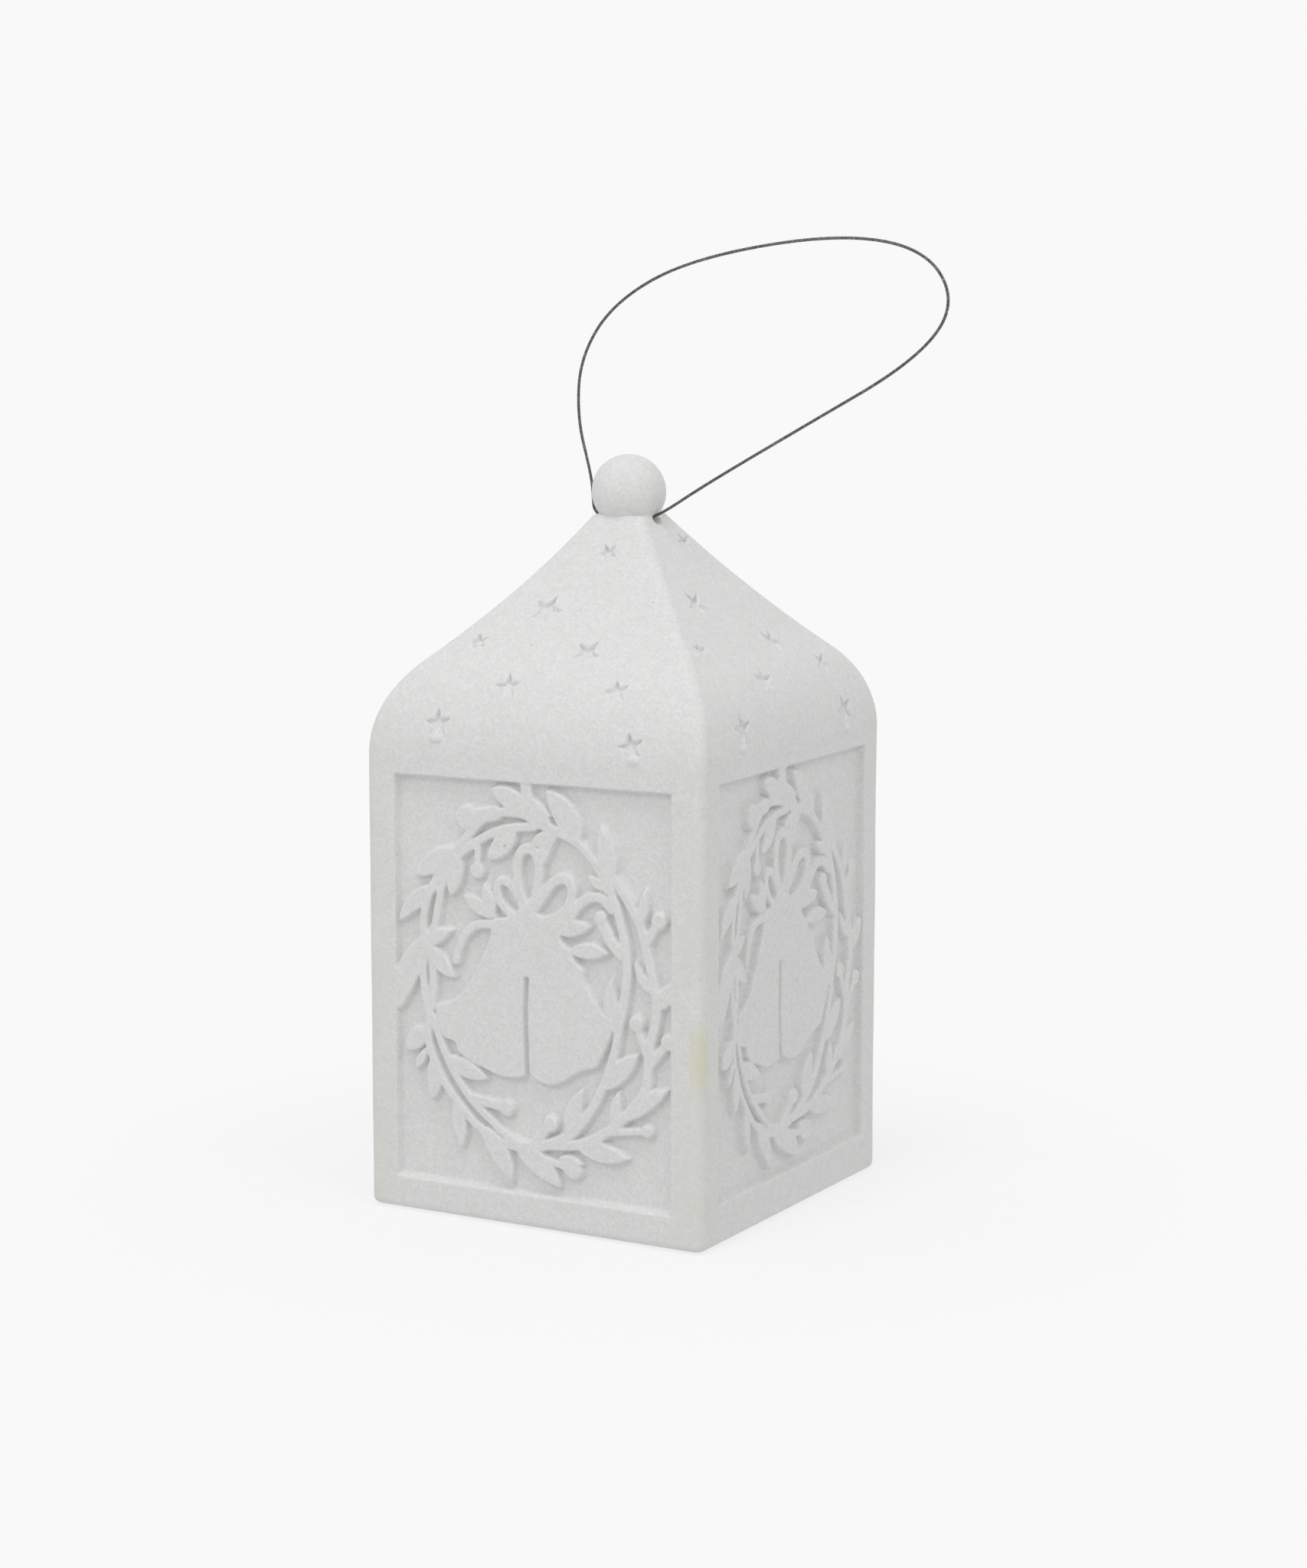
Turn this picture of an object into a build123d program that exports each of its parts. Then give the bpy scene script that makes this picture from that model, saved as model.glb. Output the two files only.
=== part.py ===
from build123d import *
from math import cos, radians, sin, tan
import os

# Hanging lantern ornament: a hollow white stone-resin casting with a four-sided
# ogee roof, a battery lamp pushed into its base and a wire loop to hang it by.
# Millimetres, +Z up, origin at the middle of the underside. The face towards -Y
# is the front, and the wire's bore runs along X.

# ---- casting: outside -----------------------------------------------------
body_width = 61.2           # square plan, over the upright walls
edge_radius = 1.8           # rounding of the upright edges and the roof ridges
foot_radius = 1.2           # rounding round the underside
wall_top_z = 74.2           # the walls start to curve in here
shoulder_radius = 19.4      # convex curve from wall to roof slope
shoulder_turn = 47.0        # degrees it turns before the slope starts to flare
roof_top_z = 110.7
roof_top_width = 9.4
ball_radius = 6.0
ball_rise = 3.65            # ball's centre above the roof's top

# ---- casting: recessed panels, one on each wall ---------------------------
side_rail = 5.6             # wall left beside the panel
foot_rail = 7.6             # wall left under it
head_rail = 2.5             # wall left over it, up to where the shoulder starts
panel_depth = 1.4
panel_corner_radius = 1.0

# ---- casting: star pockets, the same eight on each roof face ---------------
star_depth = 0.9
star_waist = 0.40           # inner radius over outer radius
# across the face, distance up the roof curve, tip radius, turn in degrees
stars = [
    (2.5, 38.5, 1.3, 10),
    (-4.8, 27.7, 2.8, 24),
    (-14.3, 20.6, 1.8, -16),
    (6.4, 20.1, 2.6, 40),
    (-4.8, 13.1, 2.4, -8),
    (14.4, 13.6, 2.2, 30),
    (-16.4, 5.7, 2.6, 5),
    (18.4, 4.4, 2.3, 18),
]

# ---- casting: inside ------------------------------------------------------
wall = 5.0
floor_thickness = 6.0
cavity_edge_radius = 3.0
cavity_top_width = 6.0
crown_thickness = 6.5       # solid stone over the cavity

# ---- hanging wire ---------------------------------------------------------
wire_diameter = 0.5
ferrule_diameter = 1.1
ferrule_length = 5.2
bore_clearance = 0.05       # radial, round the ferrule
bore_drop = 0.7             # bore's axis below the roof's top
# x and height above the bore's axis, from one end to the other; y is 0
wire_route = [
    (-2.6, 0.0), (-6.2, 0.0), (-6.45, 4.4), (-6.95, 7.4), (-9.35, 16.0), (-8.7, 25.8),
    (-2.3, 34.6), (11.3, 41.3), (36.4, 45.3), (52.1, 43.2), (57.5, 34.8), (50.7, 26.1),
    (31.4, 15.5), (14.1, 5.9), (4.6, 0.0), (2.6, 0.0),
]
arc_share = 0.45            # of the shorter run beside a corner

# ---- lamp unit: housing and base plate ------------------------------------
barrel_room = 1.2           # between the screw bosses and the barrel's wall
lamp_wall = 1.6
lamp_height = 15.0          # base plate's underside to the top of the barrel
flange_lip = 2.5            # beyond the barrel
flange_thickness = 1.8
flange_recess = 0.6         # flange's underside above the lantern's underside
flange_gap = 0.3            # radial, flange in its recess
ring_height = 2.0           # grip ring, along the barrel
ring_groove = 0.8           # its groove in the barrel
ring_stand = 1.2            # how far it stands out of the barrel
ring_fit = 0.05             # radial, ring in the casting's seat
ring_lip_bevel = 0.6
spigot_height = 2.6
spigot_wall = 1.4
plug_gap = 0.1              # radial, base plate's spigot in the housing
top_edge_radius = 1.2
led_hole_bevel = 0.6
plate_edge_bevel = 0.4
post_radius = 1.5           # posts that hold the board down
boss_radius = 2.2           # bosses of the base plate under the same places
post_x = 8.4                # the two posts beside the switch
post_back = 2.0             # and how far they stand behind its middle

# ---- lamp unit: electrical parts ------------------------------------------
cell_radius = 10.0
cell_height = 3.2
cell_cap_radius = 8.8
cell_cap_height = 0.5
cell_edge_bevel = 0.3
cell_gap = 0.4              # radial, round the coin cell
cell_y = -4.0               # the cell stands off centre, clear of the switch
board_gap = 0.9             # radial, board in the barrel
board_thickness = 1.0
board_z = 10.4              # its underside
led_radius = 2.5
led_rim_radius = 2.9
led_rim_height = 1.0
led_height = 8.6
led_hole_gap = 0.3
lead_width = 0.5
lead_pitch = 2.54
lead_length = 1.6
lead_stub = 0.8             # soldered end under the board
chip_size = (5.0, 4.0, 1.4)
chip_place = (-8.0, 3.0)
leg_pitch = 1.27
leg_width = 0.4
leg_thickness = 0.2
leg_reach = 0.9
resistor_size = (3.2, 1.6, 0.6)
resistor_place = (8.0, 2.0)
strip_thickness = 0.3
strip_width = 4.0
strip_foot = 3.0
strip_touch = 0.03          # beside the cell's round side
strip_gap = 0.2             # round the strip where it passes the cell's cup
strip_foot_gap = 1.0        # end of the strip above the door
switch_size = (8.6, 3.6, 3.4)
switch_gap = 1.2            # between the cell's side contact and the switch
switch_travel = 2.0
knob_width = 2.0
knob_depth = 1.6
knob_recess = 0.3           # knob's tip above the base plate's underside
knob_gap = 0.15
knob_reach = 1.2            # into the switch body
knob_edge_radius = 0.3
dish_length = 11.0          # finger dish round the switch
dish_width = 5.0
dish_depth = 0.8

# ---- lamp unit: battery door ----------------------------------------------
door_thickness = 1.2
door_gap = 0.3
door_ledge = 1.2            # width of the ledge that the door closes against
door_edge_bevel = 0.3
door_notch_radius = 1.6     # finger notch in the door's rim
ear_radius = 2.6
screw_radius = 0.8
screw_head_radius = 1.6
screw_head_height = 0.7
screw_length = 3.6          # under the head
screw_fit = 0.05
screw_end_gap = 0.5
cross_length = 2.0
cross_width = 0.5
cross_depth = 0.4

# ---- worked out -----------------------------------------------------------
bore_z = roof_top_z - bore_drop
bore_radius = ferrule_diameter / 2 + bore_clearance
door_radius = cell_radius + cell_gap + door_ledge
ear_place = door_radius + screw_radius
barrel_inside = Vector(ear_place, cell_y).length + boss_radius + barrel_room
barrel_radius = barrel_inside + lamp_wall
flange_radius = barrel_radius + flange_lip
board_radius = barrel_inside - board_gap
seat_radius = barrel_radius + ring_stand + ring_fit
flange_top_z = flange_recess + flange_thickness
barrel_top_z = flange_recess + lamp_height
ring_z = (flange_top_z + floor_thickness) / 2
spigot_radius = barrel_inside - plug_gap
led_z = board_z + board_thickness + lead_length
door_top_z = flange_recess + door_thickness
head_top_z = flange_recess + screw_head_height
boss_hole_top_z = head_top_z + screw_length + screw_end_gap
cell_top_z = door_top_z + cell_height
cup_top_z = cell_top_z + strip_thickness
strip_y = cell_y + cell_radius + strip_touch
switch_y = strip_y + strip_foot + switch_gap + switch_size[1] / 2
knob_top_z = board_z - switch_size[2] + knob_reach
posts = [(side * ear_place, cell_y) for side in (-1, 1)]
posts += [(side * post_x, switch_y - post_back) for side in (-1, 1)]


def roof_curve(half, spring_z, radius, top_half, top_z):
    """The convex shoulder and the flared slope above it, on XZ."""
    turn = radians(shoulder_turn)
    spring = Vector(half, 0, spring_z)
    flare = spring + Vector(-radius * (1 - cos(turn)), 0, radius * sin(turn))
    slope = Vector(-sin(turn), 0, cos(turn))
    shoulder = TangentArc(spring, flare, tangent=(0, 0, 1))
    sweep_up = TangentArc(flare, Vector(top_half, 0, top_z), tangent=slope)
    return Wire([shoulder, sweep_up])


def pavilion(half, foot_z, spring_z, radius, top_half, top_z):
    """A square block under a four-sided roof: two crossed extrusions in common."""
    curve = roof_curve(half, spring_z, radius, top_half, top_z)
    legs = Polyline((top_half, 0, top_z), (0, 0, top_z), (0, 0, foot_z),
                    (half, 0, foot_z), (half, 0, spring_z))
    section = make_face(curve.edges() + legs.edges())
    section += mirror(section, Plane.YZ)
    along_y = extrude(section, half, dir=(0, 1, 0), both=True)
    return along_y & Rot(0, 0, 90) * along_y


def ridges(block, half):
    """Upright edges and roof ridges: the edges on the two diagonal planes."""
    def on_diagonal(edge):
        middle = edge @ 0.5
        return abs(abs(middle.X) - abs(middle.Y)) < 0.01 and edge.length > half / 10
    return [edge for edge in block.edges() if on_diagonal(edge)]


def star(tip_radius):
    """Five-pointed star outline with one tip up."""
    points = []
    for tip in range(5):
        for reach, angle in ((1, 90 + 72 * tip), (star_waist, 126 + 72 * tip)):
            points.append((tip_radius * reach * cos(radians(angle)),
                           tip_radius * reach * sin(radians(angle))))
    return make_face(Polyline(*points, close=True))


def star_pockets():
    """The pockets of one roof face, the one towards -Y."""
    curve = roof_curve(body_width / 2, wall_top_z, shoulder_radius, roof_top_width / 2, roof_top_z)
    pockets = []
    for across, distance, tip_radius, turn in stars:
        spot = curve.position_at(distance, position_mode=PositionMode.LENGTH)
        rise = curve.tangent_at(distance, position_mode=PositionMode.LENGTH)
        facing = Plane(origin=(across, -spot.X, spot.Z), x_dir=(1, 0, 0),
                       z_dir=(0, -rise.Z, -rise.X))
        outline = facing * Rot(0, 0, turn) * star(tip_radius)
        pockets.append(extrude(outline, star_depth, both=True))
    return pockets


def panel_cut():
    """The recess of the wall towards -Y."""
    height = wall_top_z - head_rail - foot_rail
    middle = foot_rail + height / 2
    outline = RectangleRounded(body_width - 2 * side_rail, height, panel_corner_radius)
    front = Plane(origin=(0, -body_width / 2, middle), x_dir=(1, 0, 0), z_dir=(0, -1, 0))
    return extrude(front * outline, -panel_depth)


def lantern_body():
    half = body_width / 2
    body = pavilion(half, 0, wall_top_z, shoulder_radius, roof_top_width / 2, roof_top_z)
    body = fillet(ridges(body, half), edge_radius)
    body = fillet(body.edges().group_by(Axis.Z)[0], foot_radius)
    body += Pos(0, 0, roof_top_z + ball_rise) * Sphere(ball_radius)

    cavity = pavilion(half - wall, floor_thickness, wall_top_z, shoulder_radius - wall,
                      cavity_top_width / 2, roof_top_z - crown_thickness)
    cavity = fillet(ridges(cavity, half), cavity_edge_radius)
    body -= cavity
    low = (Align.CENTER, Align.CENTER, Align.MIN)
    body -= Cylinder(seat_radius, floor_thickness, align=low)
    body -= Cylinder(flange_radius + flange_gap, flange_top_z, align=low)
    body -= Pos(0, 0, bore_z) * Rot(0, 90, 0) * Cylinder(bore_radius, body_width)

    for side in range(4):
        for cut in [panel_cut()] + star_pockets():
            body -= Rot(0, 0, 90 * side) * cut
    return body


def wire_path():
    """Centreline of the wire: straight runs joined by arcs as large as they allow."""
    points = [Vector(x, 0, bore_z + up) for x, up in wire_route]
    radii = []
    for before, corner, after in zip(points, points[1:], points[2:]):
        turn = radians((corner - before).get_angle(after - corner))
        shorter = min((corner - before).length, (after - corner).length)
        radii.append(arc_share * shorter / tan(turn / 2))
    return FilletPolyline(*points, radius=radii), radii


def hanging_wire():
    path, radii = wire_path()
    section = Plane(origin=path @ 0, z_dir=path % 0) * Circle(wire_diameter / 2)
    wire = sweep(section, path=path)
    print("wire length", round(path.length, 2), "volume", round(wire.volume, 3),
          "of", round(section.area * path.length, 3))
    print("wire radii", [round(radius, 1) for radius in radii])
    return wire


def wire_ferrule():
    """Sleeve inside the bore that both ends of the wire are bonded to."""
    return Pos(0, 0, bore_z) * Rot(0, 90, 0) * Cylinder(ferrule_diameter / 2, ferrule_length)


def standing(radius, bottom_z, top_z, x=0, y=0):
    """An upright cylinder between two heights."""
    return Pos(x, y, bottom_z) * Cylinder(radius, top_z - bottom_z,
                                          align=(Align.CENTER, Align.CENTER, Align.MIN))


def block(size_x, size_y, bottom_z, top_z, x=0, y=0):
    """An upright box between two heights."""
    return Pos(x, y, bottom_z) * Box(size_x, size_y, top_z - bottom_z,
                                     align=(Align.CENTER, Align.CENTER, Align.MIN))


def lamp_housing():
    roof_z = barrel_top_z - lamp_wall
    cup = standing(barrel_radius, flange_top_z, barrel_top_z)
    cup = fillet(cup.edges().group_by(Axis.Z)[-1], top_edge_radius)
    cup -= standing(barrel_inside, flange_top_z, roof_z)
    groove = standing(barrel_radius, ring_z - ring_height / 2, ring_z + ring_height / 2)
    cup -= groove - standing(barrel_radius - ring_groove, flange_top_z, roof_z)
    for x, y in posts:
        cup += standing(post_radius, board_z + board_thickness, roof_z, x, y)
    led_hole = led_radius + led_hole_gap
    cup -= standing(led_hole, roof_z, barrel_top_z)
    rim = cup.edges().filter_by(GeomType.CIRCLE).filter_by(lambda edge: edge.radius < led_hole + 0.01)
    return chamfer(rim.sort_by(Axis.Z)[-1], led_hole_bevel)


def grip_ring():
    inner = barrel_radius - ring_groove
    outer = seat_radius - ring_fit
    section = Pos((inner + outer) / 2, ring_z) * Rectangle(outer - inner, ring_height)
    lips = section.vertices().group_by(Axis.X)[-1]
    section = chamfer(lips, ring_lip_bevel)
    return revolve(Plane.XZ * section, Axis.Z)


def door_outline(gap):
    """Round door with a screw ear on each side, grown by a gap."""
    outline = Circle(door_radius + gap)
    for side in (-1, 1):
        outline += Pos(side * ear_place, 0) * Circle(ear_radius + gap)
    return Pos(0, cell_y) * outline


def base_plate():
    plate = standing(flange_radius, flange_recess, flange_top_z)
    plate = chamfer(plate.edges().group_by(Axis.Z)[0], plate_edge_bevel)
    spigot_top_z = flange_top_z + spigot_height
    plate += (standing(spigot_radius, flange_top_z, spigot_top_z)
              - standing(spigot_radius - spigot_wall, flange_top_z, spigot_top_z))
    plate += standing(door_radius, flange_top_z, cup_top_z, 0, cell_y)
    for x, y in posts:
        plate += standing(boss_radius, flange_top_z, board_z, x, y)
    plate -= extrude(Pos(0, 0, flange_recess) * door_outline(door_gap), door_thickness)
    plate -= standing(cell_radius + cell_gap, door_top_z, board_z, 0, cell_y)
    plate -= block(strip_width + 2 * strip_gap, strip_thickness + strip_gap, flange_top_z, cup_top_z,
                   0, strip_y + (strip_thickness + strip_gap) / 2)
    for side in (-1, 1):
        plate -= standing(screw_radius + screw_fit, door_top_z, boss_hole_top_z, side * ear_place, cell_y)
    dish = SlotOverall(dish_length, dish_width)
    plate -= extrude(Pos(0, switch_y, flange_recess) * dish, dish_depth)
    slot_width = knob_width + switch_travel + 2 * knob_gap
    plate -= block(slot_width, knob_depth + 2 * knob_gap, flange_recess, flange_top_z,
                   switch_travel / 2, switch_y)
    return plate


def battery_door():
    door = extrude(Pos(0, 0, flange_recess) * door_outline(0), door_thickness)
    door = chamfer(door.edges().group_by(Axis.Z)[0], door_edge_bevel)
    for side in (-1, 1):
        x = side * ear_place
        door -= standing(screw_radius + screw_fit, flange_recess, door_top_z, x, cell_y)
        door -= standing(screw_head_radius + screw_fit, flange_recess, head_top_z, x, cell_y)
    grip = Pos(0, cell_y + door_radius, flange_recess) * Sphere(door_notch_radius)
    return door - grip


def door_screws():
    screws = []
    for side in (-1, 1):
        x = side * ear_place
        screw = standing(screw_head_radius, flange_recess, head_top_z, x, cell_y)
        screw += standing(screw_radius, head_top_z, head_top_z + screw_length, x, cell_y)
        for long_side, short_side in ((cross_length, cross_width), (cross_width, cross_length)):
            screw -= block(long_side, short_side, flange_recess, flange_recess + cross_depth, x, cell_y)
        screws.append(screw)
    return Compound(children=screws)


def coin_cell():
    """Case with the slightly smaller sealed cap on its upper side."""
    cap_z = door_top_z + cell_height - cell_cap_height
    case = standing(cell_radius, door_top_z, cap_z, 0, cell_y)
    case = chamfer(case.edges().filter_by(GeomType.CIRCLE), cell_edge_bevel)
    return case + standing(cell_cap_radius, cap_z, cell_top_z, 0, cell_y)


def circuit_board():
    board = standing(board_radius, board_z, board_z + board_thickness)
    for x in (-lead_pitch / 2, lead_pitch / 2):
        board -= block(lead_width, lead_width, board_z, board_z + board_thickness, x)
    return board


def led():
    body = standing(led_rim_radius, led_z, led_z + led_rim_height)
    body += standing(led_radius, led_z, led_z + led_height - led_radius)
    return body + Pos(0, 0, led_z + led_height - led_radius) * Sphere(led_radius)


def led_leads():
    leads = [block(lead_width, lead_width, board_z - lead_stub, led_z, x)
             for x in (-lead_pitch / 2, lead_pitch / 2)]
    return Compound(children=leads)


def timer_chip():
    """Eight-legged chip on top of the board."""
    long_side, short_side, height = chip_size
    x, y = chip_place
    top_z = board_z + board_thickness
    chip = block(long_side, short_side, top_z + leg_thickness, top_z + height, x, y)
    for leg in range(4):
        leg_x = x + (leg - 1.5) * leg_pitch
        chip += block(leg_width, short_side + 2 * leg_reach, top_z, top_z + leg_thickness, leg_x, y)
    return chip


def resistor():
    length, width, height = resistor_size
    top_z = board_z + board_thickness
    return block(length, width, top_z, top_z + height, *resistor_place)


def contact_positive():
    """Angled strip under the board that stands against the side of the cell."""
    upright = block(strip_width, strip_thickness, door_top_z + strip_foot_gap, board_z,
                    0, strip_y + strip_thickness / 2)
    foot = block(strip_width, strip_foot, board_z - strip_thickness, board_z, 0, strip_y + strip_foot / 2)
    return upright + foot


def contact_negative():
    """Sprung strip under the board that presses on the cap of the cell."""
    half = strip_thickness / 2
    bends = [(-8.0, board_z - half), (-4.0, board_z - half), (0.0, cell_top_z + half),
             (2.0, cell_top_z + half), (3.5, cell_top_z + 4 * half)]
    strip = trace(Polyline(*bends), strip_thickness)
    return extrude(Plane.XZ.offset(-cell_y) * strip, strip_width / 2, both=True)


def switch_body():
    length, width, height = switch_size
    body = block(length, width, board_z - height, board_z, 0, switch_y)
    slot_width = knob_width + switch_travel + 2 * knob_gap
    return body - block(slot_width, knob_depth + 2 * knob_gap, board_z - height, knob_top_z + knob_gap,
                        switch_travel / 2, switch_y)


def switch_knob():
    knob = block(knob_width, knob_depth, flange_recess + knob_recess, knob_top_z, 0, switch_y)
    return fillet(knob.edges().group_by(Axis.Z)[0], knob_edge_radius)


makers = [
    lantern_body, hanging_wire, wire_ferrule, lamp_housing, base_plate, grip_ring,
    battery_door, door_screws, coin_cell, contact_positive, contact_negative,
    circuit_board, timer_chip, resistor, led, led_leads, switch_body, switch_knob,
]
os.makedirs("parts", exist_ok=True)
for maker in makers:
    export_step(maker(), f"parts/{maker.__name__}.step")
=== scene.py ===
"""Looks of the hanging lantern ornament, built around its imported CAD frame.

Blender's units are metres, +Z is up and the front faces -Y. The sizes named here are millimetres.
"""

import math

import bpy
import numpy as np
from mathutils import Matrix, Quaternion, Vector


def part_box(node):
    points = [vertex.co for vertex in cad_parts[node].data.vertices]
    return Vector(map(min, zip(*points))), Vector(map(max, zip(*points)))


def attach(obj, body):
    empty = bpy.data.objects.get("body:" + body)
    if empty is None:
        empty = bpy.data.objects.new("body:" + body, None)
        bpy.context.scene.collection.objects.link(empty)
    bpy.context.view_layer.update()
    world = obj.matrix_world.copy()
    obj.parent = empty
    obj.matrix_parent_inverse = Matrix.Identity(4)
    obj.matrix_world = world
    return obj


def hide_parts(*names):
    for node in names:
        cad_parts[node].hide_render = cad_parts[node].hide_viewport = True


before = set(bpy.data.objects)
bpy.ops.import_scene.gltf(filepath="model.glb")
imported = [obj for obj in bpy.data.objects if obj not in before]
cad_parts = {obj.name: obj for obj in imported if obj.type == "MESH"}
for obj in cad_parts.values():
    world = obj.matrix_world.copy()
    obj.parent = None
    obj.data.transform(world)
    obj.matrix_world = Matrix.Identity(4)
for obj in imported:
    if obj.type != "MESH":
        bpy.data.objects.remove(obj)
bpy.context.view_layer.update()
MM = 0.001
TINY = 0.01  # millimetres; what is smaller counts as nothing

# ---- the casting's own sizes, in millimetres ------------------------------------------------
casting_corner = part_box("lantern_body")[1]
HALF = casting_corner[0] / MM  # half width of the square body
TOP_Z = casting_corner[2] / MM  # top of the ball
BALL_RADIUS = 6.0
BALL_RISE = 3.65  # its middle above the roof's top
ROOF_TOP_Z = TOP_Z - BALL_RADIUS - BALL_RISE
ROOF_TOP_HALF = 4.7
WALL_TOP_Z = 74.2
EDGE_RADIUS = 1.8
RIDGE_RADIUS = 1.6
FOOT_RADIUS = 1.2
SHOULDER_RADIUS = 19.4
SHOULDER_TURN = math.radians(47)
WALL = 5.0
FLOOR_Z = 6.0
CAVITY_TOP_Z = ROOF_TOP_Z - 6.5
CAVITY_TOP_HALF = 3.0
CAVITY_EDGE_RADIUS = 3.0
CAVITY_RIDGE_RADIUS = 2.1
FLANGE_THICKNESS, FLANGE_GAP, RING_GAP = 1.8, 0.3, 0.05
LEDGE_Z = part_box("base_plate")[0][2] / MM + FLANGE_THICKNESS  # the flange's top face
RECESS_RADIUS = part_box("base_plate")[1][0] / MM + FLANGE_GAP
SEAT_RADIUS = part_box("grip_ring")[1][0] / MM + RING_GAP
BORE_Z = ROOF_TOP_Z - 0.7
BORE_RADIUS = 0.6
BORE_DEPTH = 2.5
BORE_OUT, BORE_RIM = 0.05, 0.12  # where the bore's sides start outside it, and their width
BORE_WIDEN = 1.9  # the mouth is worn this many times wider than high, where the wire swings
BALL_START = 0.2  # the ball's lowest row over the roof's top

PANEL_HALF = HALF - 5.6
PANEL_LOW, PANEL_HIGH = 7.6, WALL_TOP_Z - 2.5
PANEL_DEPTH = 1.4
SILL_RUN, SILL_SLOPE = 1.5, 0.28  # the sill slopes from this far under the panel
RIM_OUT, RIM_WIDTH = 0.06, 0.18  # where the panel's steep sides start outside it, and their width
CLIMB_FROM = 12  # across, where a climbing top edge is level with the CAD's
RELIEF_OVERLAP, RELIEF_PROUD = 0.3, 0.06  # how far the relief may run on and over the frame
RELIEF_LIFT = 0.95  # the whole relief, over the heights listed below
STEM_HEIGHT, LEAF_HEIGHT, STALK_HEIGHT = 1.30, 1.32, 1.28
BODY_HEIGHT = 1.34  # bells and berries
BERRY_ROUNDING = 0.30
# The walls were finished by hand, in two pairs: how much higher the panel sits than in the CAD source,
# how its top edge climbs to the right, and which places of the relief are found at which places across.
PAIRS = [
    (-0.6, 0.012, ([-30, -18.4, -0.4, 14.7, 30], [-30, -18, 0, 15, 30])),
    (0.6, 0.0, ([-30, -22, -14.4, -6, 2, 12.7, 23, 30], [-30, -22, -12, -2, 5, 15, 25, 32])),
]

# heights, and how far the hand-made roof stands off the walls' middle at each
ROOF_DRIFT = ([74, 80, 86, 90, 98, 106, 112, 121], [0, 0.30, 0.72, 0.90, 0.88, 0.62, 0.28, 0.15])
DRIFT_X, DRIFT_Y = 0.87, 0.49  # the direction that it stands off in

FINE = 0.16  # grid pitch on the walls
ROOF_PITCH = 0.22
COARSE = 2.0  # inside the casting

# ---- relief on each panel: across from the wall's middle and height above the foot, in millimetres
STEMS = [  # half width, centreline
    (0.75, [(1.0, 65.2), (-2.0, 65.8), (-5.5, 65.6), (-8.5, 64.2), (-10.8, 61.9), (-13.2, 59.2),
            (-15.6, 56.2), (-18.0, 52.6), (-19.3, 49.2), (-19.6, 45.5), (-18.8, 43.5), (-18.0, 40.5),
            (-17.8, 37.5), (-18.0, 34.5), (-18.7, 31.5), (-18.8, 28.2), (-17.8, 24.8), (-15.6, 21.0),
            (-12.8, 17.8), (-9.5, 14.8), (-6.0, 13.0), (-2.0, 12.4)]),
    (0.72, [(1.0, 63.9), (-3.0, 63.4), (-6.5, 62.3), (-9.6, 60.6), (-12.4, 58.6), (-14.6, 56.6),
            (-15.9, 53.6), (-16.7, 50.0), (-17.5, 46.5), (-19.0, 43.8), (-19.7, 41.0), (-19.7, 37.5),
            (-19.2, 34.0), (-18.0, 31.6), (-16.9, 29.0), (-15.4, 25.6), (-13.0, 21.7), (-10.2, 18.6),
            (-7.2, 16.2), (-4.0, 13.9), (-1.0, 12.8), (2.0, 13.2), (5.0, 14.3)]),
    (0.78, [(-2.0, 12.4), (2.0, 13.0), (5.2, 14.4), (8.2, 16.3), (10.6, 19.2), (12.5, 22.4),
            (14.1, 26.0), (15.4, 30.0), (16.3, 34.5), (17.1, 38.5), (17.5, 42.5), (17.2, 46.5),
            (16.4, 50.0), (15.4, 53.2), (13.9, 56.3), (11.7, 59.3), (9.3, 61.6), (6.5, 63.0),
            (3.5, 64.0), (1.0, 64.6)]),
    (0.82, [(2.0, 13.4), (5.2, 13.6), (8.8, 14.2), (12.4, 15.8), (15.9, 18.4), (18.8, 21.5),
            (20.8, 24.7), (21.2, 28.0), (21.5, 31.5), (22.4, 35.0), (22.7, 38.0), (22.0, 42.0),
            (21.0, 45.6), (20.3, 48.7), (19.2, 51.2), (17.6, 53.8), (15.8, 56.2), (14.0, 58.6)]),
    (1.05, [(-0.4, 71.5), (-0.2, 68.6), (1.2, 66.2), (3.0, 64.8)]),
    (1.05, [(4.6, 63.4), (3.4, 61.4), (2.2, 58.8)]),
]
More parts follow.
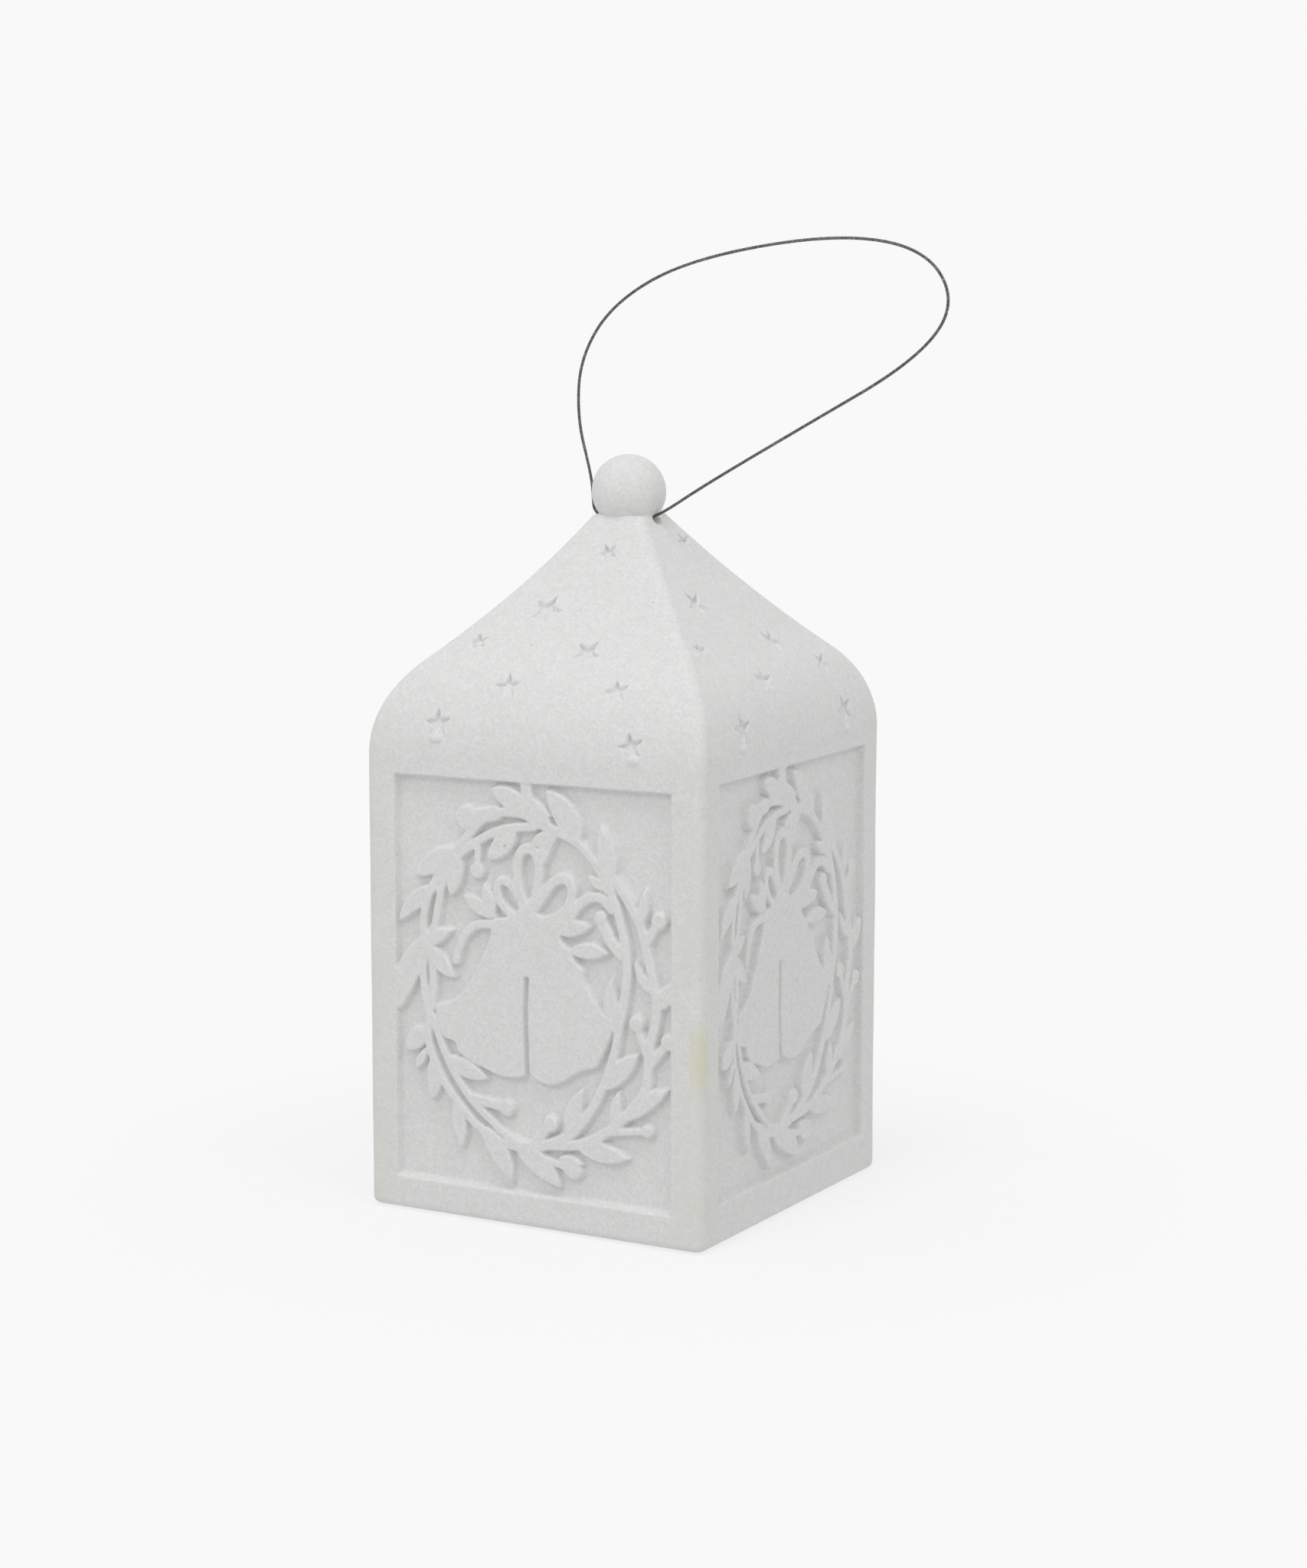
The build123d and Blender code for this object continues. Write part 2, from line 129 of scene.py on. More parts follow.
LEAVES = [  # foot, tip, half width, bend to the left as a share of the length
    ((-0.3, 66.2), (-6.8, 69.2), 1.75, -0.05),
    ((3.8, 65.9), (0.0, 68.8), 0.75, 0.05),
    ((8.9, 62.3), (3.3, 69.8), 2.1, -0.05),
    ((13.9, 55.0), (12.9, 65.0), 1.75, -0.06),
    ((13.6, 55.2), (10.7, 57.0), 0.9, 0.0),
    ((20.2, 50.6), (20.6, 55.6), 0.85, 0.0),
    ((17.2, 44.0), (11.8, 50.9), 1.0, 0.0),
    ((21.9, 39.6), (18.9, 44.3), 0.85, 0.05),
    ((22.4, 37.6), (26.2, 42.2), 1.35, -0.05),
    ((16.8, 19.3), (24.6, 24.9), 1.45, 0.02),
    ((13.2, 23.8), (19.4, 29.8), 1.6, 0.0),
    ((7.2, 15.4), (9.4, 23.0), 1.5, 0.04),
    ((15.0, 18.2), (15.9, 23.4), 1.0, 0.0),
    ((8.6, 14.2), (17.7, 13.1), 1.65, -0.02),
    ((-2.2, 12.2), (5.4, 7.0), 1.9, 0.06),
    ((-8.8, 14.8), (-3.4, 6.7), 1.8, 0.06),
    ((-13.8, 18.2), (-12.7, 11.0), 1.3, 0.03),
    ((-17.8, 25.2), (-18.2, 18.3), 1.5, 0.04),
    ((-19.2, 26.4), (-21.4, 22.9), 0.8, 0.0),
    ((-19.6, 29.4), (-23.1, 26.2), 1.7, 0.0),
    ((-20.2, 43.8), (-24.6, 32.4), 2.1, -0.04),
    ((-17.2, 52.6), (-24.3, 46.7), 1.45, -0.08),
    ((-13.0, 58.8), (-21.2, 54.4), 1.85, -0.03),
    ((-12.8, 57.8), (-14.4, 51.7), 1.45, 0.0),
    ((-2.6, 63.2), (-7.4, 58.2), 1.7, 0.03),
    ((3.2, 63.0), (0.5, 60.8), 0.9, 0.0),
    ((-18.4, 43.4), (-14.5, 46.0), 1.15, 0.08),
    ((-18.4, 43.0), (-13.8, 38.6), 1.45, -0.04),
    ((-6.3, 49.2), (-12.0, 51.9), 1.3, 0.02),
    ((-6.3, 50.0), (-8.2, 54.1), 1.1, 0.05),
    ((4.8, 48.0), (11.0, 49.1), 1.35, 0.0),
    ((7.6, 44.9), (14.2, 45.2), 1.3, 0.03),
    ((10.0, 44.6), (11.6, 46.6), 0.7, 0.0),
    ((15.3, 33.2), (14.6, 41.0), 1.35, 0.04),
    ((-15.2, 25.4), (-7.8, 22.9), 1.5, -0.03),
    ((5.6, 11.6), (9.6, 11.2), 0.9, 0.0),
    ((5.8, 11.2), (8.4, 8.5), 0.9, 0.0),
]
BERRIES = [  # middle, radius, foot of its stalk, half width of the stalk
    ((23.0, 51.1), 1.35, (21.0, 47.6), 0.75),
    ((19.1, 34.6), 1.35, (20.9, 30.0), 0.65),
    ((24.7, 32.4), 1.35, (21.8, 28.8), 0.75),
    ((21.0, 17.9), 1.12, (14.4, 16.9), 0.62),
    ((-9.5, 56.1), 1.35, (-9.3, 60.0), 0.6),
    ((-11.4, 64.4), 2.05, (-6.0, 65.5), 1.25),
    ((-4.3, 18.5), 1.38, (-10.9, 19.4), 0.85),
    ((3.8, 16.9), 1.35, (0.8, 13.4), 0.8),
    ((12.9, 50.7), 1.2, (14.6, 48.2), 0.7),
    ((8.4, 9.9), 1.15, (2.4, 11.2), 0.6),
]
RIBBONS = [  # half width, centreline: three loops of the bow and its two tails
    (0.85, [(-0.4, 50.4), (-1.7, 54.0), (-2.1, 57.4), (-1.4, 59.7), (0.2, 60.4), (1.5, 59.3),
            (1.9, 56.6), (1.3, 53.2), (0.2, 50.2)]),
    (0.75, [(-0.4, 49.9), (-1.9, 52.6), (-3.5, 54.5), (-5.0, 54.9), (-5.8, 53.7), (-5.2, 51.6),
            (-3.4, 49.9), (-1.0, 49.2)]),
    (0.85, [(0.4, 50.0), (2.2, 52.6), (4.3, 55.3), (6.4, 56.2), (7.7, 55.0), (7.4, 52.4), (5.6, 50.3),
            (3.0, 49.2), (0.6, 49.0)]),
    (0.75, [(-5.4, 47.8), (-9.2, 47.5), (-11.4, 46.1), (-12.8, 43.6), (-13.5, 41.4)]),
    (0.82, [(3.6, 48.8), (6.8, 49.6), (8.8, 52.0), (10.8, 53.6), (13.0, 53.7), (14.8, 52.2)]),
]
BELLS = [
    [(0.0, 50.0), (-4.0, 49.2), (-6.9, 48.4), (-7.0, 46.2), (-8.2, 43.3), (-9.9, 40.0), (-12.2, 36.6),
     (-14.8, 34.6), (-17.2, 33.8), (-17.0, 31.0), (-15.8, 28.7), (-13.8, 28.1), (-13.2, 26.6),
     (-11.0, 25.4), (-8.5, 24.5), (-5.0, 23.5), (-2.0, 23.8), (-0.5, 24.9), (0.0, 32.0)],
    [(0.0, 50.0), (0.0, 40.0), (-0.3, 32.0), (-0.2, 25.4), (1.0, 23.9), (3.0, 23.2), (5.5, 23.6),
     (8.0, 25.2), (10.0, 26.2), (12.2, 27.0), (13.2, 28.8), (14.1, 30.6), (14.8, 32.6), (14.3, 34.4),
     (13.0, 36.2), (11.2, 38.6), (10.0, 40.5), (9.9, 42.2), (8.4, 43.4), (7.4, 45.2), (6.0, 46.4),
     (5.0, 48.6)],
]
GROOVE = [(-0.45, 39.6), (-0.6, 36.0), (-0.6, 32.0), (-0.45, 28.0), (-0.35, 24.4)]
GROOVE_HALF = 0.28
GROOVE_OUT, GROOVE_RIM = 0.25, 0.45  # where the groove's sides start outside it, and their width

# ---- star pockets: across, distance up the roof, tip radius, turn in degrees
FRONT_STARS = [
    (0.7, 38.7, 1.8, 34),
    (-6.4, 27.1, 2.9, -18),
    (-16.0, 20.0, 1.8, 18),
    (4.1, 19.1, 2.7, -27),
    (-6.9, 11.7, 2.4, 11),
    (12.5, 12.2, 2.2, 18),
    (-17.6, 4.8, 2.5, 8),
    (17.6, 3.5, 2.3, 18),
]
SIDE_STARS = [
    (3.6, 40.0, 2.1, 10),
    (-6.5, 28.6, 2.7, 24),
    (-15.6, 20.4, 1.8, -16),
    (6.8, 19.3, 2.5, 40),
    (-4.3, 12.6, 2.5, -8),
    (16.6, 13.2, 2.3, 30),
    (-16.6, 5.5, 2.7, 5),
    (18.1, 4.7, 2.6, 18),
]
STAR_DEPTH = 0.9
STAR_WAIST = 0.40  # inner radius over outer radius
STAR_OUT, STAR_RIM = 0.06, 0.22  # where a star's sides start outside it, and their width
STAR_MIDDLE, STAR_TILT, STAR_SHALLOWEST = 0.62, 0.42, 0.30  # shares of the depth, deepest uphill
CRUMB_RADIUS, CRUMB_SQUASH, CRUMB_HEIGHT = 0.8, 0.75, 0.4
CRUMBS = [(-17.4, 2.6), (18.4, 1.6)]  # beads of resin left under the two lowest stars

# ---- wire: x and height above the bore's axis, in millimetres, as in the CAD source
WIRE_ROUTE = [
    (-2.6, 0.0), (-6.2, 0.0), (-6.45, 4.4), (-6.95, 7.4), (-9.35, 16.0), (-8.7, 25.8),
    (-2.3, 34.6), (11.3, 41.3), (36.4, 45.3), (52.1, 43.2), (57.5, 34.8), (50.7, 26.1),
    (31.4, 15.5), (14.1, 5.9), (4.6, 0.0), (2.6, 0.0),
]
WIRE_DIAMETER = 0.5
STRANDS = 6
LAY_LENGTH = 3.6  # one turn of a strand round the core
WIRE_PITCH = 0.25  # steps along the wire
STRAND_SIDES = 6


# ---- camera ---------------------------------------------------------------------------------
def make_camera():
    """The photograph's viewpoint: right of the front, a little over the lantern."""
    azimuth, elevation, roll = math.radians(29.48), math.radians(8.83), math.radians(0.05)
    distance, aim_right, aim_z = 579.9 * MM, 4.2 * MM, 66.9 * MM
    right = Vector((math.cos(azimuth), math.sin(azimuth), 0))
    back = Vector((math.sin(azimuth) * math.cos(elevation), -math.cos(azimuth) * math.cos(elevation),
                   math.sin(elevation)))
    aim = right * aim_right + Vector((0, 0, aim_z))
    data = bpy.data.cameras.new("camera")
    data.lens = 82.0
    data.clip_start = 0.01
    camera = bpy.data.objects.new("camera", data)
    camera.location = aim + back * distance
    camera.rotation_euler = (back.to_track_quat("Z", "Y") @ Quaternion((0, 0, 1), roll)).to_euler()
    bpy.context.scene.collection.objects.link(camera)
    bpy.context.scene.camera = camera


# ---- geometry helpers -----------------------------------------------------------------------
def mesh_object(name, vertices, faces):
    """A smooth mesh object from an array of points and a list of faces."""
    mesh = bpy.data.meshes.new(name)
    mesh.from_pydata([tuple(v) for v in vertices], [], [tuple(f) for f in faces])
    mesh.validate()
    mesh.update()
    mesh.polygons.foreach_set("use_smooth", [True] * len(mesh.polygons))
    thing = bpy.data.objects.new(name, mesh)
    bpy.context.scene.collection.objects.link(thing)
    return thing


def quad_mesh(name, vertices, quads):
    """A smooth mesh of quads, built straight from arrays."""
    mesh = bpy.data.meshes.new(name)
    mesh.vertices.add(len(vertices))
    mesh.vertices.foreach_set("co", np.asarray(vertices, np.float32).ravel())
    mesh.loops.add(quads.size)
    mesh.loops.foreach_set("vertex_index", quads.astype(np.int32).ravel())
    mesh.polygons.add(len(quads))
    mesh.polygons.foreach_set("loop_start", np.arange(0, quads.size, 4, dtype=np.int32))
    mesh.polygons.foreach_set("use_smooth", np.ones(len(quads), bool))
    mesh.update(calc_edges=True)
    thing = bpy.data.objects.new(name, mesh)
    bpy.context.scene.collection.objects.link(thing)
    return thing


def grid_mesh(name, grid):
    """A mesh from a grid of points that closes on itself sideways, unwrapped for baking."""
    row_count, column_count = grid.shape[:2]
    index = np.arange(row_count * column_count).reshape(row_count, column_count)
    beside = np.roll(index, -1, axis=1)
    quads = np.stack([index[:-1], beside[:-1], beside[1:], index[1:]], -1).reshape(-1, 4)
    thing = quad_mesh(name, grid.reshape(-1, 3), quads)
    shape = (row_count - 1, column_count, 4)
    column = np.arange(column_count)[:, None] + np.array([0, 1, 1, 0])
    row = np.arange(row_count - 1)[:, None, None] + np.array([0, 0, 1, 1])
    places = np.stack([np.broadcast_to(column / column_count, shape),
                       np.broadcast_to(row / (row_count - 1), shape)], -1)
    layer = thing.data.uv_layers.new(name="OFBake")
    layer.uv.foreach_set("vector", places.astype(np.float32).ravel())
    return thing


def smooth_line(points, per=10, closed=False):
    """A smooth line through a few points."""
    p = np.array(points, float)
    if closed:
        ring = np.vstack([p[-1:], p, p[:2]])
    else:
        ring = np.vstack([2 * p[0] - p[1], p, 2 * p[-1] - p[-2]])
    t = np.linspace(0, 1, per, endpoint=False)[:, None]
    spans = []
    for a, b, c, d in zip(ring, ring[1:], ring[2:], ring[3:]):
        spans.append(0.5 * (2 * b + (c - a) * t + (2 * a - 5 * b + 4 * c - d) * t**2
                            + (3 * b - a - 3 * c + d) * t**3))
    line = np.vstack(spans)
    return line if closed else np.vstack([line, p[-1:]])


def disc_depth(x, z, centres, radii):
    """How deep each point lies inside a row of discs; negative outside."""
    best = np.full(x.shape, -np.inf)
    reach = max(radii) + 2
    low, high = centres.min(0) - reach, centres.max(0) + reach
    near = (x > low[0]) & (x < high[0]) & (z > low[1]) & (z < high[1])
    nx, nz = x[near], z[near]
    depth = np.full(nx.shape, -np.inf)
    for (cx, cz), radius in zip(centres, radii):
        depth = np.maximum(depth, radius - np.hypot(nx - cx, nz - cz))
    best[near] = depth
    return best


def outline_depth(x, z, outline):
    """How deep each point lies inside a closed outline; negative outside."""
    nearest = np.full(x.shape, np.inf)
    inside = np.zeros(x.shape, bool)
    for (ax, az), (bx, bz) in zip(outline, np.roll(outline, -1, axis=0)):
        ex, ez = bx - ax, bz - az
        along = np.clip(((x - ax) * ex + (z - az) * ez) / (ex * ex + ez * ez), 0, 1)
        nearest = np.minimum(nearest, np.hypot(x - ax - along * ex, z - az - along * ez))
        if az != bz:
            inside ^= ((az > z) != (bz > z)) & (x < ex * (z - az) / ez + ax)
    return np.where(inside, nearest, -nearest)


def rounded(depth, height, radius=0.17, skirt=0.14):
    """Height over a shape whose edge rolls off like a quarter circle."""
    share = np.clip((depth + skirt) / (radius + skirt), 0, 1)
    return height * np.sqrt(1 - (1 - share) ** 2)


def soften(field):
    """A light blur of a height grid, as a mould gives."""
    for axis in (0, 1):
        field = 0.5 * field + 0.25 * (np.roll(field, 1, axis) + np.roll(field, -1, axis))
    return field


# ---- relief ---------------------------------------------------------------------------------
def leaf_discs(foot, tip, half, bend):
    """Discs along a leaf's curved midrib, widest past its middle."""
    foot, tip = np.array(foot, float), np.array(tip, float)
    run = tip - foot
    side = np.array([-run[1], run[0]])
    t = np.linspace(0, 1, 30)
    centres = foot + np.outer(t, run) + np.outer(4 * bend * t * (1 - t), side)
    radii = half * np.sin(math.pi * t**0.85) ** 0.75
    return centres, np.maximum(np.maximum(radii, 0.32 * half * (1 - t)), 0.14)


def relief_height(x, z):
    """Height of the wreath, bow and bells above the panel's ground."""
    layers = [np.zeros(x.shape)]
    for half, points in STEMS + RIBBONS:
        line = smooth_line(points)
        layers.append(rounded(disc_depth(x, z, line, [half] * len(line)), STEM_HEIGHT))
    for foot, tip, half, bend in LEAVES:
        centres, radii = leaf_discs(foot, tip, half, bend)
        layers.append(rounded(disc_depth(x, z, centres, radii), LEAF_HEIGHT))
    for middle, radius, foot, half in BERRIES:
        stalk = np.linspace(foot, middle, 16)
        layers.append(rounded(disc_depth(x, z, stalk, [half] * len(stalk)), STALK_HEIGHT))
        layers.append(rounded(disc_depth(x, z, np.array([middle]), [radius]), BODY_HEIGHT, BERRY_ROUNDING))
    for points in BELLS:
        depth = outline_depth(x, z, smooth_line(points, 4, closed=True))
        layers.append(rounded(depth, BODY_HEIGHT))
    height = np.maximum.reduce(layers)
    line = smooth_line(GROOVE)
    cut = disc_depth(x, z, line, [GROOVE_HALF] * len(line))
    return height * (1 - np.clip((cut + GROOVE_OUT) / GROOVE_RIM, 0, 1))


def panel_offset(x, z, lift, climb, drawn):
    """Offset of a wall's surface: a recessed panel with the relief standing in it.

    lift raises the panel and its relief, climb tilts the panel's top edge, and drawn pairs places across
    the wall with places in the relief.
    """
    side = PANEL_HALF - np.abs(x)
    head = PANEL_HIGH + lift + climb * (x - CLIMB_FROM) - z
    sill = (z - PANEL_LOW - lift + SILL_RUN) * SILL_SLOPE  # the other three sides are steep
    edge = np.minimum(np.minimum(side, head), sill)
    share = np.clip((edge + RIM_OUT) / RIM_WIDTH, 0, 1)
    ground = -PANEL_DEPTH * share**2 * (3 - 2 * share)
    relief = relief_height(np.interp(x, *drawn), z - lift - RELIEF_LIFT)
    carved = np.maximum(ground, relief - PANEL_DEPTH)
    carved = np.where(edge > -RELIEF_OVERLAP, carved, 0.0)
    return soften(np.minimum(carved, RELIEF_PROUD))


def star_depth(across, up, tip_radius, turn):
    """How deep each point lies inside a five-pointed star about the origin."""
    angle = np.arctan2(up, across) - math.radians(90 + turn)
    sector = math.radians(36)
    folded = np.abs((angle + sector) % (2 * sector) - sector)
    reach = np.hypot(across, up)
    x, y = reach * np.cos(folded), reach * np.sin(folded)
    waist_x = tip_radius * STAR_WAIST * math.cos(sector)
    waist_y = tip_radius * STAR_WAIST * math.sin(sector)
    edge_x, edge_y = waist_x - tip_radius, waist_y
    length = math.hypot(edge_x, edge_y)
    return -((x - tip_radius) * edge_y - y * edge_x) / length


def roof_offset(across, distance, stars):
    """Offset of a roof face's surface: star pockets, deepest uphill, and the beads under two of them."""
    offset = np.zeros(across.shape)
    for x, up, tip_radius, turn in stars:
        depth = star_depth(across - x, distance - up, tip_radius, turn)
        share = np.clip((depth + STAR_OUT) / STAR_RIM, 0, 1)
        uphill = np.clip(STAR_MIDDLE + STAR_TILT * (distance - up) / tip_radius, STAR_SHALLOWEST, 1)
        offset = np.minimum(offset, -STAR_DEPTH * share * uphill)
    for x, up in CRUMBS:
        bead = CRUMB_RADIUS - np.hypot((across - x) * CRUMB_SQUASH, distance - up)
        raised = rounded(bead, CRUMB_HEIGHT, CRUMB_RADIUS, 0.0)
        offset = np.where(bead > 0, np.maximum(offset, raised), offset)
    return offset


# ---- casting: one closed grid of rounded squares, from the top of the cavity to the top of the ball
def profile_run(start, end, pitch):
    """Straight run of a profile: rows of half width, corner radius and height."""
    start, end = np.array(start, float), np.array(end, float)
    count = max(1, round(np.linalg.norm((end - start)[[0, 2]]) / pitch))
    return start + np.outer(np.linspace(0, 1, count, endpoint=False), end - start)


def roof_rows(half, radius, top_half, top_z, corner, ridge, pitch):
    """Rows up an ogee roof: the convex shoulder, then the flared slope."""
    turn = SHOULDER_TURN
    angles = np.linspace(0, turn, max(2, round(radius * turn / pitch)), endpoint=False)
    shoulder = np.stack([half - radius * (1 - np.cos(angles)), WALL_TOP_Z + radius * np.sin(angles)], 1)
    flare = np.array([half - radius * (1 - math.cos(turn)), WALL_TOP_Z + radius * math.sin(turn)])
    run = np.array([top_half, top_z]) - flare
    chord = np.hypot(*run)
    lean = math.atan2(-run[0], run[1]) - turn
    big = chord / (2 * math.sin(-lean))
    centre = flare + big * np.array([math.cos(turn), math.sin(turn)])
    sweep = np.linspace(0, -2 * lean, max(2, round(chord / pitch)), endpoint=False)
    slope = centre - big * np.stack([np.cos(turn - sweep), np.sin(turn - sweep)], 1)
    rows = np.vstack([shoulder, slope])
    tilt = np.clip((rows[:, 1] - WALL_TOP_Z) / (flare[1] - WALL_TOP_Z), 0, 1)
    corners = corner + (ridge - corner) * tilt
    return np.stack([rows[:, 0], np.minimum(corners, rows[:, 0]), rows[:, 1]], 1)


def casting_rows():
    """All rows of the casting, (half width, corner radius, height), and how many of them lie inside it."""
    inside = HALF - WALL
    seat, recess = (SEAT_RADIUS, SEAT_RADIUS), (RECESS_RADIUS, RECESS_RADIUS)
    side = (inside, CAVITY_EDGE_RADIUS)
    cavity_top = (CAVITY_TOP_HALF, CAVITY_RIDGE_RADIUS, CAVITY_TOP_Z)
    cavity = roof_rows(inside, SHOULDER_RADIUS - WALL, CAVITY_TOP_HALF, CAVITY_TOP_Z,
                       CAVITY_EDGE_RADIUS, CAVITY_RIDGE_RADIUS, COARSE)
    inner = np.vstack([
        profile_run((TINY, TINY, CAVITY_TOP_Z), cavity_top, 1.0),
        cavity[::-1],
        profile_run((*side, WALL_TOP_Z), (*side, FLOOR_Z), 2 * COARSE),
        profile_run((*side, FLOOR_Z), (*seat, FLOOR_Z), 0.8),
        profile_run((*seat, FLOOR_Z), (*seat, LEDGE_Z), 0.8),
        profile_run((*seat, LEDGE_Z), (*recess, LEDGE_Z), 0.5),
        profile_run((*recess, LEDGE_Z), (*recess, 0), 0.6),
        profile_run((*recess, 0), (HALF - FOOT_RADIUS, EDGE_RADIUS - FOOT_RADIUS, 0), 0.8),
    ])
    quarter = np.linspace(0, math.pi / 2, 7)[:-1]
    drawn_in = FOOT_RADIUS * (1 - np.sin(quarter))
    polar = np.linspace(math.acos(-(BALL_RISE - BALL_START) / BALL_RADIUS), 0, 48)
    ball_half = BALL_RADIUS * np.sin(polar)
    outer = np.vstack([
        np.stack([HALF - drawn_in, EDGE_RADIUS - drawn_in, FOOT_RADIUS * (1 - np.cos(quarter))], 1),
        profile_run((HALF, EDGE_RADIUS, FOOT_RADIUS), (HALF, EDGE_RADIUS, WALL_TOP_Z), FINE),
        roof_rows(HALF, SHOULDER_RADIUS, ROOF_TOP_HALF, ROOF_TOP_Z, EDGE_RADIUS, RIDGE_RADIUS, ROOF_PITCH),
        np.array([(ROOF_TOP_HALF, RIDGE_RADIUS, ROOF_TOP_Z)]),
        np.stack([ball_half, ball_half, TOP_Z - BALL_RADIUS + BALL_RADIUS * np.cos(polar)], 1),
    ])
    return np.vstack([inner, outer]), len(inner)


def casting_columns():
    """Places round one side: share of the flat and angle round the corner."""
    flat_count = max(8, round(2 * (HALF - EDGE_RADIUS) / FINE))
    corner_count = 6
    flat = np.linspace(-1, 1, flat_count, endpoint=False)
    shares = np.concatenate([np.full(corner_count, -1.0), flat, np.full(corner_count, 1.0)])
    before = np.linspace(-math.pi / 4, 0, corner_count, endpoint=False)
    after = np.linspace(0, math.pi / 4, corner_count, endpoint=False)
    return shares, np.concatenate([before, np.zeros(flat_count), after])


def drift(z):
    """How far the hand-made roof stands off the walls' middle at each height, towards +X and +Y."""
    amount = np.interp(z, *ROOF_DRIFT)
    return DRIFT_X * amount, DRIFT_Y * amount


def waviness(points):
    """Slow unevenness of a hand-finished casting, in millimetres."""
    x, y, z = points[..., 0], points[..., 1], points[..., 2]
    slow = np.sin(x / 9.3 + 1.3 * np.sin(z / 14.0)) * np.sin(y / 8.1 + 0.7) * np.cos(z / 11.7 + x / 23.0)
    quick = np.sin(x / 3.1 + y / 2.7) * np.sin(z / 3.7 + 0.9 * np.sin(x / 4.3))
    return 0.05 * slow + 0.018 * quick


def turned(x, y, turn):
    """Turn a pair of coordinates about the upright axis."""
    return x * math.cos(turn) - y * math.sin(turn), x * math.sin(turn) + y * math.cos(turn)


def carved_offsets(rows, across, z, outside):
    """Offsets of the two kinds of wall and of roof face, front and back first, on the whole grid."""
    wall = outside & (rows[:, 2] <= WALL_TOP_Z) & (rows[:, 0] > HALF - TINY)
    roof = outside & (rows[:, 2] > WALL_TOP_Z) & (rows[:, 2] < ROOF_TOP_Z)
    steps = np.hypot(np.diff(rows[:, 0], prepend=rows[0, 0]), np.diff(rows[:, 2], prepend=rows[0, 2]))
    climbed = np.cumsum(steps)
    distance = (climbed - climbed[np.argmax(roof)])[:, None] + 0 * across
    walls, roofs = np.zeros((2, *across.shape)), np.zeros((2, *across.shape))
    for pair, stars in enumerate((FRONT_STARS, SIDE_STARS)):
        walls[pair][wall] = panel_offset(across[wall], z[wall], *PAIRS[pair])
        roofs[pair][roof] = roof_offset(across[roof], distance[roof], stars)
    return walls, roofs


def bore_cut(across, z, side):
    """How far the wire's bore cuts into one of the two sides that face along X."""
    off_middle = (2 - side) * drift(BORE_Z)[1]
    bore = BORE_RADIUS - np.hypot((across + off_middle) / BORE_WIDEN, z - BORE_Z)
    return BORE_DEPTH * np.clip((bore + BORE_OUT) / BORE_RIM, 0, 1)


def make_casting():
    """The whole casting, carved: four like sides round the rows of its profile."""
    rows, first_outside = casting_rows()
    shares, angles = casting_columns()
    half, corner, height = (rows[:, k, None] for k in range(3))
    even = np.linspace(-math.pi / 4, math.pi / 4, len(angles), endpoint=False)
    angles = np.where(half - corner < TINY, even, angles)  # round rows have no flats
    across = shares * (half - corner) + corner * np.sin(angles)
    outward = half - corner * (1 - np.cos(angles))
    z = np.broadcast_to(height, across.shape)
    outside = np.arange(len(rows)) >= first_outside
    near_bore = outside[:, None] * (z > BORE_Z - 2) * (z < ROOF_TOP_Z + 1)
    walls, roofs = carved_offsets(rows, across, z, outside)

    # outward direction of each row and column, from the profile's slope and the corner's angle
    rise = np.gradient(rows[:, 2])
    run = np.gradient(rows[:, 0])
    length = np.maximum(np.hypot(rise, run), 1e-9)
    lean_out, lean_up = (rise / length)[:, None], (-run / length)[:, None]
    normal_x, normal_y = lean_out * np.sin(angles), -lean_out * np.cos(angles)

    sides = []
    for side in range(4):
        turn = side * math.pi / 2
        flat, tilted = walls[side % 2], roofs[side % 2]
        if side % 2:
            flat = flat - bore_cut(across, z, side) * near_bore
        x, y = turned(across + tilted * normal_x, -(outward + flat - tilted * normal_y), turn)
        points = np.stack([x, y, z + tilted * lean_up], -1)
        bump = waviness(points) * outside[:, None] * np.clip(z / 3, 0, 1)
        out_x, out_y = turned(normal_x, normal_y, turn)
        points += bump[..., None] * np.stack([out_x, out_y, lean_up + 0 * out_x], -1)
        drift_x, drift_y = drift(z)
        points[..., 0] += drift_x * outside[:, None]
        points[..., 1] += drift_y * outside[:, None]
        sides.append(points)
    return grid_mesh("casting", np.concatenate(sides, axis=1) * MM)


make_camera()


# ---- wire -----------------------------------------------------------------------------------
def wire_route():
    """The wire's centreline: one smooth curve through the air, made from the route's own points."""
    data = bpy.data.curves.new("wire_route", "CURVE")
    data.dimensions = "3D"
    data.resolution_u = 24
    spline = data.splines.new("NURBS")
    spline.points.add(len(WIRE_ROUTE) - 1)
    for point, (x, up) in zip(spline.points, WIRE_ROUTE):
        point.co = (x * MM, 0, (BORE_Z + up) * MM, 1)
    spline.order_u = 3
    spline.use_endpoint_u = True
    curve = bpy.data.objects.new("wire_route", data)
    bpy.context.scene.collection.objects.link(curve)
    sampled = bpy.data.meshes.new_from_object(curve)
    points = np.array([vertex.co[:] for vertex in sampled.vertices])
    bpy.data.objects.remove(curve)
    return points


def resample(points, pitch):
    """Even steps along a line of points."""
    steps = np.concatenate([[0], np.cumsum(np.linalg.norm(np.diff(points, axis=0), axis=1))])
    places = np.linspace(0, steps[-1], round(steps[-1] / pitch))
    return np.stack([np.interp(places, steps, points[:, axis]) for axis in range(3)], 1), places


